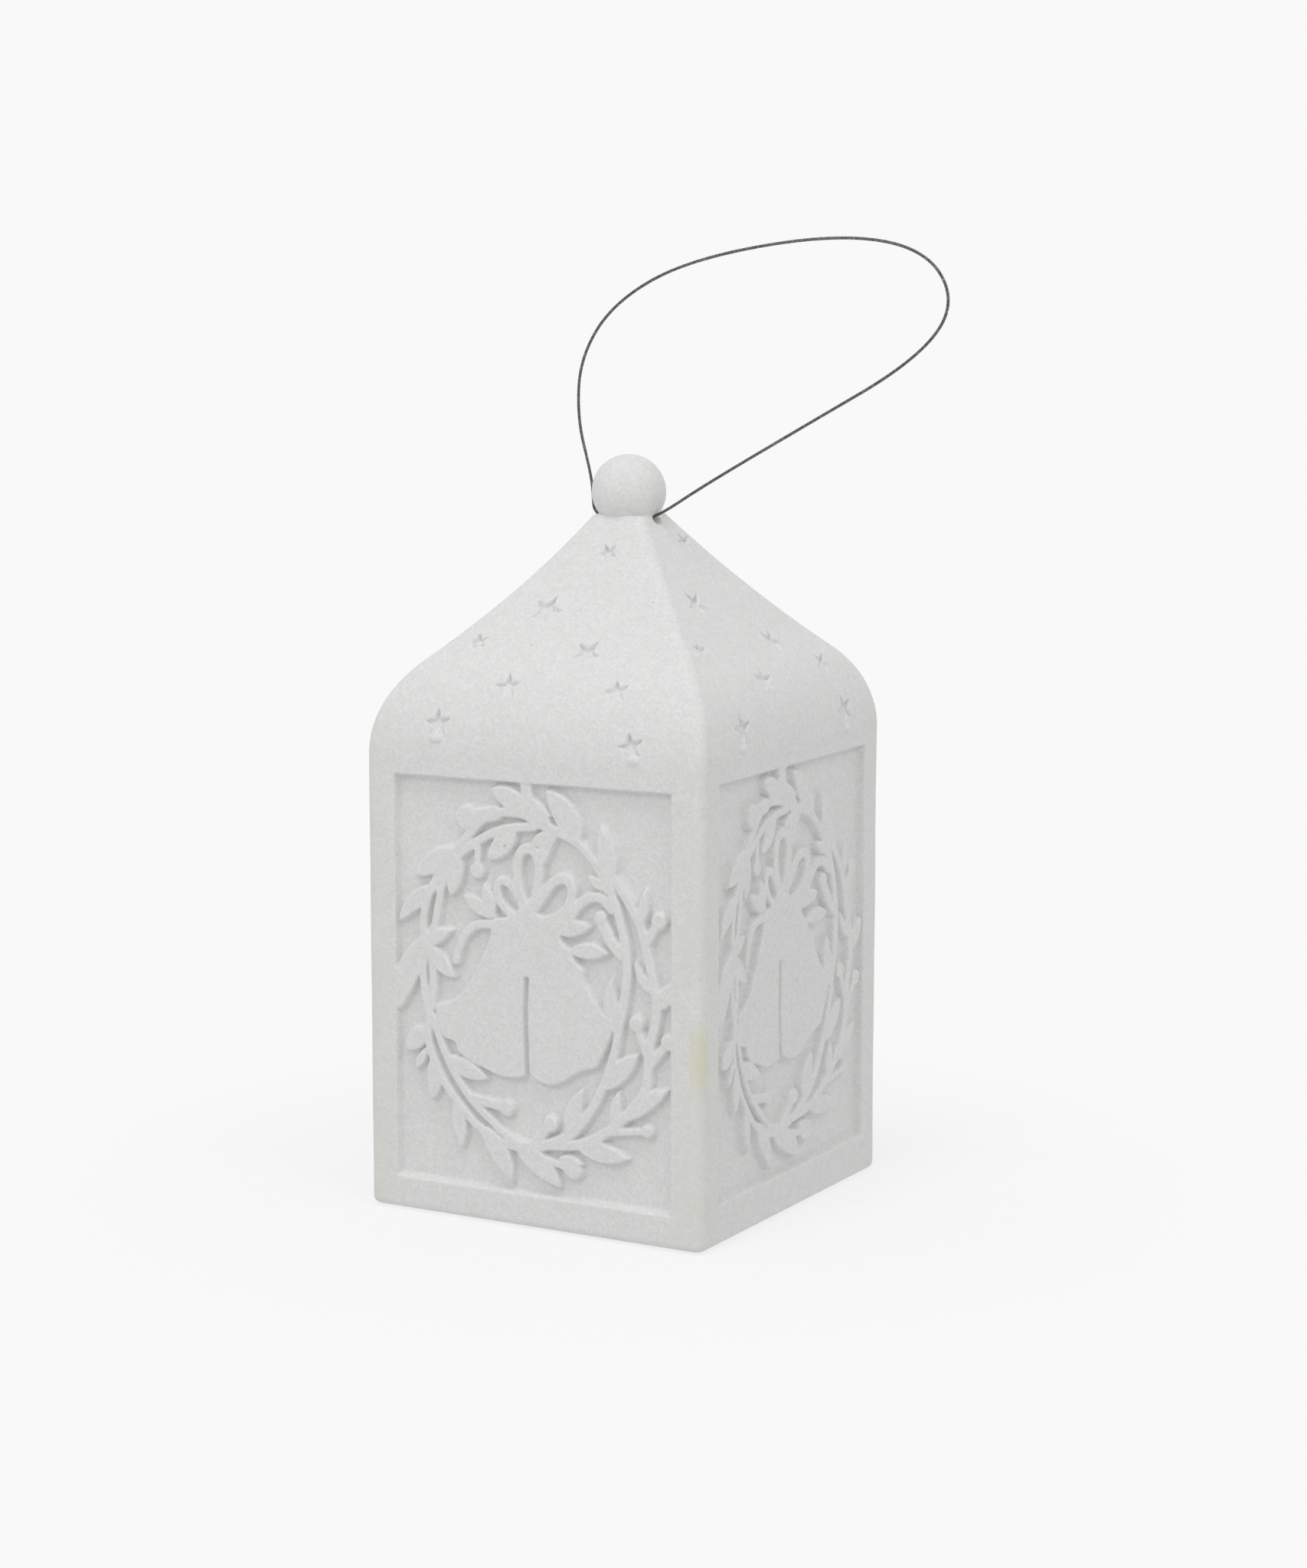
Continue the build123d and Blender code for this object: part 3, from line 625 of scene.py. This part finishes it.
def tube_rings(line, radius, sides):
    """Rings of a tube along a line, without twist."""
    ahead = np.gradient(line, axis=0)
    ahead /= np.linalg.norm(ahead, axis=1)[:, None]
    side = np.zeros_like(line)
    side[0] = np.cross(ahead[0], (0.3, 0.8, 0.52))
    side[0] /= np.linalg.norm(side[0])
    for k in range(1, len(line)):
        carried = side[k - 1] - ahead[k] * np.dot(side[k - 1], ahead[k])
        side[k] = carried / np.linalg.norm(carried)
    other = np.cross(ahead, side)
    angle = np.linspace(0, 2 * math.pi, sides, endpoint=False)
    rings = (line[:, None] + radius * (np.cos(angle)[:, None] * side[:, None]
                                       + np.sin(angle)[:, None] * other[:, None]))
    return rings


def add_tube(vertices, faces, line, radius, sides):
    """Append a capped tube to a growing mesh."""
    rings = tube_rings(line, radius, sides)
    start = len(vertices)
    vertices.extend(rings.reshape(-1, 3))
    for k in range(len(line) - 1):
        for s in range(sides):
            t = (s + 1) % sides
            a, b = start + k * sides, start + (k + 1) * sides
            faces.append((a + s, a + t, b + t, b + s))
    faces.append(tuple(start + s for s in reversed(range(sides))))
    faces.append(tuple(start + (len(line) - 1) * sides + s for s in range(sides)))


def make_wire():
    """Stranded steel wire: six wires laid round a core along the route."""
    points = wire_route()
    core, places = resample(points, WIRE_PITCH * MM)
    strand_radius = WIRE_DIAMETER / 6 * MM  # three strands fit across the rope
    vertices, faces = [], []
    add_tube(vertices, faces, core, strand_radius, STRAND_SIDES)
    in_plane = np.gradient(core, axis=0)
    in_plane /= np.linalg.norm(in_plane, axis=1)[:, None]
    across = np.stack([in_plane[:, 2], np.zeros(len(core)), -in_plane[:, 0]], 1)
    sideways = np.array([0.0, 1.0, 0.0])
    for strand in range(STRANDS):
        turn = 2 * math.pi * (strand / STRANDS + places / (LAY_LENGTH * MM))
        out = np.cos(turn)[:, None] * across + np.sin(turn)[:, None] * sideways
        add_tube(vertices, faces, core + 2 * strand_radius * out, strand_radius, STRAND_SIDES)
    wire = mesh_object("wire_loop", vertices, faces)
    length = np.linalg.norm(np.diff(points, axis=0), axis=1).sum()
    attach(wire, "hanger")
    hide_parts("hanging_wire")
    return wire


# ---- materials ------------------------------------------------------------------------------
class Nodes:
    """A short hand for building a material's node tree."""

    def __init__(self, name):
        self.material = bpy.data.materials.new(name)
        self.material.use_nodes = True
        self.tree = self.material.node_tree
        self.shader = self.tree.nodes["Principled BSDF"]

    def add(self, kind, settings=None, **inputs):
        node = self.tree.nodes.new(kind)
        for key, value in (settings or {}).items():
            setattr(node, key, value)
        for key, value in inputs.items():
            self.put(node, key.replace("_", " "), value)
        return node

    def put(self, node, socket, value):
        target = node.inputs[int(socket)] if socket.isdigit() else node.inputs[socket]
        if isinstance(value, bpy.types.NodeSocket):
            self.tree.links.new(value, target)
        else:
            target.default_value = value

    def sum(self, first, second, operation="ADD"):
        """Two values under one of the maths node's operations."""
        node = self.tree.nodes.new("ShaderNodeMath")
        node.operation = operation
        self.put(node, "0", first)
        self.put(node, "1", second)
        return node.outputs[0]

    def ramp(self, value, stops, smooth=False):
        node = self.tree.nodes.new("ShaderNodeValToRGB")
        node.color_ramp.interpolation = "EASE" if smooth else "LINEAR"
        points = node.color_ramp.elements
        while len(points) < len(stops):
            points.new(0.5)
        for point, (place, colour) in zip(points, stops):
            point.position = place
            point.color = (*colour, 1) if len(colour) == 3 else colour
        self.put(node, "Fac", value)
        return node.outputs["Color"]

    def mix(self, share, first, second, blend="MIX"):
        node = self.tree.nodes.new("ShaderNodeMix")
        node.data_type = "RGBA"
        node.blend_type = blend
        self.put(node, "0", share)
        for socket, value in (("6", first), ("7", second)):
            self.put(node, socket, (*value, 1) if isinstance(value, tuple) and len(value) == 3 else value)
        return node.outputs[2]

    def map_range(self, value, source, target, smooth=False):
        """Carry a value from one range to another, clamped at both ends."""
        kind = "SMOOTHSTEP" if smooth else "LINEAR"
        node = self.add("ShaderNodeMapRange", {"clamp": True, "interpolation_type": kind}, Value=value)
        for socket, limit in zip(("From Min", "From Max", "To Min", "To Max"), (*source, *target)):
            self.put(node, socket, limit)
        return node.outputs[0]

    def channel(self, colour, number):
        """One channel of a colour."""
        return self.add("ShaderNodeSeparateColor", Color=colour).outputs[number]

    def speck(self, value, height):
        """A value's swing about a half, scaled to a height."""
        return self.sum(self.sum(value, 0.5, "SUBTRACT"), height, "MULTIPLY")

    def place(self):
        return self.add("ShaderNodeTexCoord").outputs["Object"]

    def noise(self, scale, detail=2.0, rough=0.5, vector=None):
        node = self.add("ShaderNodeTexNoise", Scale=scale, Detail=detail, Roughness=rough)
        self.put(node, "Vector", vector or self.place())
        return node.outputs["Fac"]

    def grains(self, size, feature="F1", vector=None):
        node = self.add("ShaderNodeTexVoronoi", {"feature": feature}, Scale=1 / size)
        self.put(node, "Vector", vector or self.place())
        return node

    def bump(self, height, distance, strength=1.0, normal=None):
        node = self.add("ShaderNodeBump", Strength=strength, Distance=distance, Height=height)
        if normal:
            self.put(node, "Normal", normal)
        return node.outputs["Normal"]

    def finish(self, **sockets):
        for key, value in sockets.items():
            self.put(self.shader, key.replace("_", " "), value)
        return self.material


def ragged_place(n, place):
    """The object's own coordinates, jittered so that grains get ragged outlines."""
    jitter = n.add("ShaderNodeTexNoise", Scale=900.0, Detail=1.0)
    n.put(jitter, "Vector", place)
    shift = n.add("ShaderNodeVectorMath", {"operation": "SCALE"}, Scale=0.4 * MM)
    n.put(shift, "0", jitter.outputs["Color"])
    warped = n.add("ShaderNodeVectorMath", {"operation": "ADD"})
    n.put(warped, "0", place)
    n.put(warped, "1", shift.outputs[0])
    return warped.outputs[0]


def edge_tint(n, place, patchy):
    """Where the resin is thin and yellows: along the upright edges, more towards the foot."""
    across, along, up = n.add("ShaderNodeSeparateXYZ", Vector=place).outputs
    far = n.sum(n.sum(across, 0, "ABSOLUTE"), n.sum(along, 0, "ABSOLUTE"))
    edge = n.map_range(far, (54.5 * MM, 60.2 * MM), (0.0, 0.75))
    low = n.map_range(up, (85 * MM, 0.0), (0.35, 1.0))
    return n.sum(n.sum(edge, low, "MULTIPLY"), patchy, "MULTIPLY")


def edge_stain(n, place, patchy):
    """A yellow-green stain on the edge between the front and the right wall."""
    narrow, tall, stain_z = 1.8, 0.8, 31
    away = n.add("ShaderNodeVectorMath", {"operation": "DISTANCE"})
    n.put(away, "0", n.add("ShaderNodeMapping", Vector=place, Scale=(narrow, narrow, tall)).outputs[0])
    away.inputs[1].default_value = (narrow * HALF * MM, -narrow * HALF * MM, tall * stain_z * MM)
    stain = n.map_range(away.outputs["Value"], (1 * MM, 6 * MM), (0.95, 0.0), smooth=True)
    return n.sum(stain, n.sum(patchy, 0.3), "MULTIPLY")


def stone_resin():
    """White cast marble resin: sugary grain, faint veins of tone, a few pits and a sanded foot."""
    n = Nodes("stone_resin")
    place = n.place()
    ragged = ragged_place(n, place)
    grain = n.grains(0.38 * MM, vector=ragged)
    grain_tone = n.channel(grain.outputs["Color"], 0)
    crystal_tone = n.channel(n.grains(1.1 * MM, vector=ragged).outputs["Color"], 1)
    cloud = n.noise(160.0, 4.0, 0.6, place)

    # tone: mostly even, with lighter and darker grains
    tone = n.sum(n.speck(grain_tone, 0.075), n.speck(crystal_tone, 0.02))
    tone = n.sum(n.sum(tone, n.speck(cloud, 0.03)), 0.5)
    dark, even, light = (0.62, 0.62, 0.612), (0.705, 0.705, 0.70), (0.80, 0.80, 0.80)
    colour = n.ramp(tone, [(0.40, dark), (0.5, even), (0.60, light)])
    patchy = n.map_range(n.noise(95.0, 3.0, 0.6, place), (0.38, 0.62), (0.25, 1.0))
    colour = n.mix(edge_tint(n, place, patchy), colour, (0.67, 0.67, 0.61))
    colour = n.mix(edge_stain(n, place, patchy), colour, (0.65, 0.65, 0.46))

    # pits: rare small dark bubbles near the surface
    bubble = n.grains(3.4 * MM, vector=place)
    rare = n.sum(n.channel(bubble.outputs["Color"], 2), 0.86, "GREATER_THAN")
    small = n.sum(bubble.outputs["Distance"], 0.055, "LESS_THAN")
    pit = n.sum(rare, small, "MULTIPLY")
    colour = n.mix(n.sum(pit, 0.6, "MULTIPLY"), colour, (0.30, 0.295, 0.28))

    # bump: grain all over, coarser on the sanded foot
    up = n.add("ShaderNodeSeparateXYZ", Vector=place).outputs[2]
    sanded = n.map_range(up, (7.5 * MM, 2 * MM), (0.0, 1.0))
    scratch = n.sum(n.noise(1500.0, 2.0, 0.6, place), n.sum(sanded, 1.6, "MULTIPLY"), "MULTIPLY")
    grit = n.sum(n.sum(grain.outputs["Distance"], scratch), n.sum(pit, 3.0, "MULTIPLY"), "SUBTRACT")
    normal = n.bump(grit, 0.05 * MM, 0.7)
    normal = n.bump(n.noise(420.0, 3.0, 0.55, place), 0.12 * MM, 0.55, normal)
    glint = n.sum(n.sum(grain_tone, 0.93, "GREATER_THAN"), 0.28, "MULTIPLY")
    rough = n.sum(n.sum(0.66, n.sum(crystal_tone, 0.10, "MULTIPLY")), glint, "SUBTRACT")
    n.shader.inputs["Subsurface Weight"].default_value = 0.22
    n.shader.inputs["Subsurface Radius"].default_value = (1.0, 0.97, 0.9)
    n.shader.inputs["Subsurface Scale"].default_value = 0.9 * MM
    n.shader.inputs["Specular IOR Level"].default_value = 0.42
    return n.finish(Base_Color=colour, Roughness=rough, Normal=normal)


def moulded_plastic(name, colour, rough=0.42, grain=0.35 * MM):
    """Injection-moulded plastic: a spark-eroded grain and slight unevenness in gloss."""
    n = Nodes(name)
    place = n.place()
    tone = n.noise(140.0, 3.0, 0.5, place)
    darker = tuple(0.93 * c for c in colour)
    base = n.ramp(tone, [(0.35, darker), (0.65, colour)])
    skin = n.grains(grain, "SMOOTH_F1", place).outputs["Distance"]
    gloss = n.sum(rough, n.sum(tone, 0.14, "MULTIPLY"))
    return n.finish(Base_Color=base, Roughness=gloss, Normal=n.bump(skin, 0.012 * MM, 0.5))


def soft_rubber():
    """Milky silicone with a dusty bloom."""
    n = Nodes("silicone")
    place = n.place()
    bloom = n.noise(700.0, 4.0, 0.65, place)
    base = n.ramp(bloom, [(0.35, (0.52, 0.52, 0.50)), (0.7, (0.66, 0.66, 0.64))])
    n.shader.inputs["Subsurface Weight"].default_value = 0.25
    n.shader.inputs["Subsurface Scale"].default_value = 1.0 * MM
    n.shader.inputs["Sheen Weight"].default_value = 0.12
    return n.finish(Base_Color=base, Roughness=n.sum(0.5, n.sum(bloom, 0.2, "MULTIPLY")),
                    Normal=n.bump(bloom, 0.02 * MM, 0.5))


def metal(name, colour, rough, brush=(1.0, 1.0, 1.0), scale=900.0, depth=0.006 * MM):
    """Bare metal; brush stretches its fine scratches along one axis."""
    n = Nodes(name)
    stretch = n.add("ShaderNodeMapping", Vector=n.place(), Scale=brush)
    lines = n.noise(scale, 3.0, 0.6, stretch.outputs[0])
    stain = n.noise(220.0, 3.0, 0.55, n.place())
    base = n.ramp(stain, [(0.3, tuple(0.82 * c for c in colour)), (0.7, colour)])
    n.shader.inputs["Metallic"].default_value = 1.0
    gloss = n.sum(n.sum(rough, n.sum(lines, 0.16, "MULTIPLY")), 0.08, "SUBTRACT")
    return n.finish(Base_Color=base, Roughness=gloss, Normal=n.bump(lines, depth, 0.6))


def wire_steel():
    """Dull stainless strands, coloured along noise streaks from a painted shadow tone, meant as the shade in
    the lay between them, to a painted highlight tone.
    """
    n = Nodes("wire_steel")
    place = n.place()
    streak = n.noise(2600.0, 3.0, 0.6, place)
    # painted shade and painted highlight tones of the strands, spread over the steel by noise
    shadow, dull, painted_highlight = (0.085, 0.081, 0.074), (0.17, 0.163, 0.15), (0.40, 0.39, 0.365)
    base = n.ramp(streak, [(0.3, shadow), (0.56, dull), (0.74, painted_highlight)])
    n.shader.inputs["Metallic"].default_value = 0.7
    return n.finish(Base_Color=base, Roughness=n.sum(0.36, n.sum(streak, 0.2, "MULTIPLY")),
                    Normal=n.bump(streak, 0.01 * MM, 0.4))


def circuit_green():
    """Solder mask with copper tracks showing through it."""
    n = Nodes("board_mask")
    place = n.place()
    tracks = n.grains(3.2 * MM, "DISTANCE_TO_EDGE", place).outputs["Distance"]
    line = n.sum(tracks, 0.09, "LESS_THAN")
    cloud = n.noise(500.0, 2.0, 0.5, place)
    mask = n.ramp(cloud, [(0.3, (0.012, 0.115, 0.04)), (0.7, (0.02, 0.16, 0.06))])
    base = n.mix(line, mask, (0.05, 0.27, 0.09))
    return n.finish(Base_Color=base, Roughness=n.sum(0.28, n.sum(cloud, 0.15, "MULTIPLY")),
                    Normal=n.bump(line, 0.03 * MM, 0.6))


def lamp_epoxy():
    """Warm diffused epoxy of the light."""
    n = Nodes("lamp_epoxy")
    cloud = n.noise(900.0, 2.0, 0.5, n.place())
    base = n.ramp(cloud, [(0.3, (0.80, 0.74, 0.50)), (0.7, (0.86, 0.82, 0.62))])
    n.shader.inputs["Subsurface Weight"].default_value = 0.5
    n.shader.inputs["Subsurface Scale"].default_value = 1.5 * MM
    n.shader.inputs["Coat Weight"].default_value = 0.6
    return n.finish(Base_Color=base, Roughness=n.sum(0.18, n.sum(cloud, 0.1, "MULTIPLY")),
                    Normal=n.bump(cloud, 0.01 * MM, 0.3))


def resistor_body():
    """Black ceramic between two tinned ends."""
    n = Nodes("resistor_body")
    place = n.place()
    low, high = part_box("resistor")
    middle = (low[0] + high[0]) / 2
    across = n.add("ShaderNodeSeparateXYZ", Vector=place).outputs[0]
    end = n.sum(n.sum(n.sum(across, middle, "SUBTRACT"), 0, "ABSOLUTE"), 1.15 * MM, "GREATER_THAN")
    speck = n.noise(2400.0, 2.0, 0.5, place)
    body = n.ramp(speck, [(0.3, (0.018, 0.018, 0.02)), (0.7, (0.045, 0.045, 0.05))])
    tin = n.ramp(speck, [(0.3, (0.42, 0.42, 0.43)), (0.7, (0.62, 0.62, 0.63))])
    gloss = n.sum(0.38, n.sum(speck, 0.2, "MULTIPLY"))
    return n.finish(Base_Color=n.mix(end, body, tin), Metallic=end, Roughness=gloss,
                    Normal=n.bump(speck, 0.02 * MM, 0.5))


def dress(node, material):
    """Give a CAD node its finish."""
    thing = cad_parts[node]
    thing.data.materials.clear()
    thing.data.materials.append(material)


def dress_lamp_unit():
    ivory = moulded_plastic("housing_plastic", (0.70, 0.70, 0.68))
    for node in ("lamp_housing", "base_plate", "battery_door"):
        dress(node, ivory)
    dress("grip_ring", soft_rubber())
    dress("circuit_board", circuit_green())
    dress("timer_chip", moulded_plastic("chip_epoxy", (0.035, 0.035, 0.038), 0.5, 0.15 * MM))
    dress("resistor", resistor_body())
    dress("led", lamp_epoxy())
    dress("led_leads", metal("tinned_leads", (0.66, 0.66, 0.67), 0.32))
    spring = metal("contact_plate", (0.70, 0.66, 0.58), 0.28, brush=(1.0, 8.0, 8.0))
    dress("contact_positive", spring)
    dress("contact_negative", spring)
    dress("switch_body", moulded_plastic("switch_case", (0.03, 0.03, 0.032), 0.4))
    dress("switch_knob", moulded_plastic("knob_plastic", (0.022, 0.022, 0.024), 0.35))
    dress("coin_cell", metal("cell_can", (0.62, 0.62, 0.61), 0.24, brush=(6.0, 0.6, 1.0)))
    dress("door_screws", metal("screw_steel", (0.46, 0.46, 0.48), 0.3))
    dress("wire_ferrule", metal("ferrule_brass", (0.55, 0.53, 0.48), 0.36, brush=(0.5, 5.0, 5.0)))


# ---- floor, backdrop and light --------------------------------------------------------------
BACKDROP = 0.947
AMBIENT = {"From Min": -0.35, "From Max": 0.6, "To Min": 0.77, "To Max": 0.68}  # from low to high
AIM_Z = 60  # the height that the lights face


def seen_directly(tree):
    """1 for what the camera sees, straight or in gloss or glass; 0 for what lights the object."""
    path = tree.nodes.new("ShaderNodeLightPath")
    total = path.outputs["Is Camera Ray"]
    for name in ("Is Glossy Ray", "Is Transmission Ray"):
        add = tree.nodes.new("ShaderNodeMath")
        add.operation = "MAXIMUM"
        tree.links.new(total, add.inputs[0])
        tree.links.new(path.outputs[name], add.inputs[1])
        total = add.outputs[0]
    return total


def make_world():
    world = bpy.data.worlds.new("studio")
    bpy.context.scene.world = world
    world.use_nodes = True
    tree = world.node_tree
    shade = tree.nodes["Background"]
    shade.inputs["Color"].default_value = (1, 1, 1, 1)
    place = tree.nodes.new("ShaderNodeTexCoord")
    split = tree.nodes.new("ShaderNodeSeparateXYZ")
    tree.links.new(place.outputs["Generated"], split.inputs[0])
    rise = tree.nodes.new("ShaderNodeMapRange")
    for socket, value in AMBIENT.items():
        rise.inputs[socket].default_value = value
    tree.links.new(split.outputs[2], rise.inputs["Value"])
    level = tree.nodes.new("ShaderNodeMix")
    level.data_type = "FLOAT"
    tree.links.new(seen_directly(tree), level.inputs[0])
    tree.links.new(rise.outputs[0], level.inputs[2])
    level.inputs[3].default_value = BACKDROP
    tree.links.new(level.outputs[0], shade.inputs["Strength"])


def make_floor():
    """Pale floor that keeps a soft shadow near the object and fades into the backdrop."""
    bpy.ops.mesh.primitive_circle_add(vertices=96, radius=4.0, fill_type="NGON", location=(0, 0, -0.0003))
    floor = bpy.context.object
    floor.name = "floor"
    n = Nodes("floor_paper")
    place = n.place()
    reach = n.add("ShaderNodeVectorMath", {"operation": "LENGTH"})
    n.put(reach, "0", place)
    fade = n.map_range(reach.outputs["Value"], (40 * MM, 120 * MM), (0.26, 0.0), smooth=True)
    paper = n.noise(260.0, 3.0, 0.5, place)
    n.finish(Base_Color=n.ramp(paper, [(0.3, (0.90, 0.90, 0.90)), (0.7, (0.93, 0.93, 0.93))]), Roughness=0.9)
    n.shader.inputs["Specular IOR Level"].default_value = 0.1
    glow = n.add("ShaderNodeEmission", Color=(1, 1, 1, 1), Strength=BACKDROP)
    mixed = n.add("ShaderNodeMixShader", Fac=fade)
    n.put(mixed, "1", glow.outputs[0])
    n.put(mixed, "2", n.shader.outputs[0])
    through = n.add("ShaderNodeBsdfTransparent")
    sided = n.add("ShaderNodeMixShader", Fac=n.add("ShaderNodeNewGeometry").outputs["Backfacing"])
    n.put(sided, "1", mixed.outputs[0])
    n.put(sided, "2", through.outputs[0])
    n.tree.links.new(sided.outputs[0], n.tree.nodes["Material Output"].inputs["Surface"])
    floor.data.materials.append(n.material)
    floor.visible_diffuse = False


def soft_light(name, azimuth, elevation, distance, size, power):
    """A round softbox aimed at the object's middle."""
    data = bpy.data.lights.new(name, "AREA")
    data.shape = "DISK"
    data.size = size
    data.energy = power
    light = bpy.data.objects.new(name, data)
    a, e = math.radians(azimuth), math.radians(elevation)
    back = Vector((math.sin(a) * math.cos(e), -math.cos(a) * math.cos(e), math.sin(e)))
    light.location = Vector((0, 0, AIM_Z * MM)) + back * distance
    light.rotation_euler = back.to_track_quat("Z", "Y").to_euler()
    bpy.context.scene.collection.objects.link(light)


def make_lights():
    soft_light("top", 5, 72, 1.1, 0.4, 1.9)
    soft_light("front", -6, 38, 1.2, 0.4, 2.0)
    soft_light("right", 66, 44, 1.2, 0.5, 1.6)


# ---- the whole ------------------------------------------------------------------------------
wire = make_wire()
wire.data.materials.append(wire_steel())
casting = make_casting()
casting.data.materials.append(stone_resin())
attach(casting, "lantern")
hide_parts("lantern_body")
dress_lamp_unit()
make_world()
make_floor()
make_lights()
bpy.context.scene.view_settings.view_transform = "Standard"
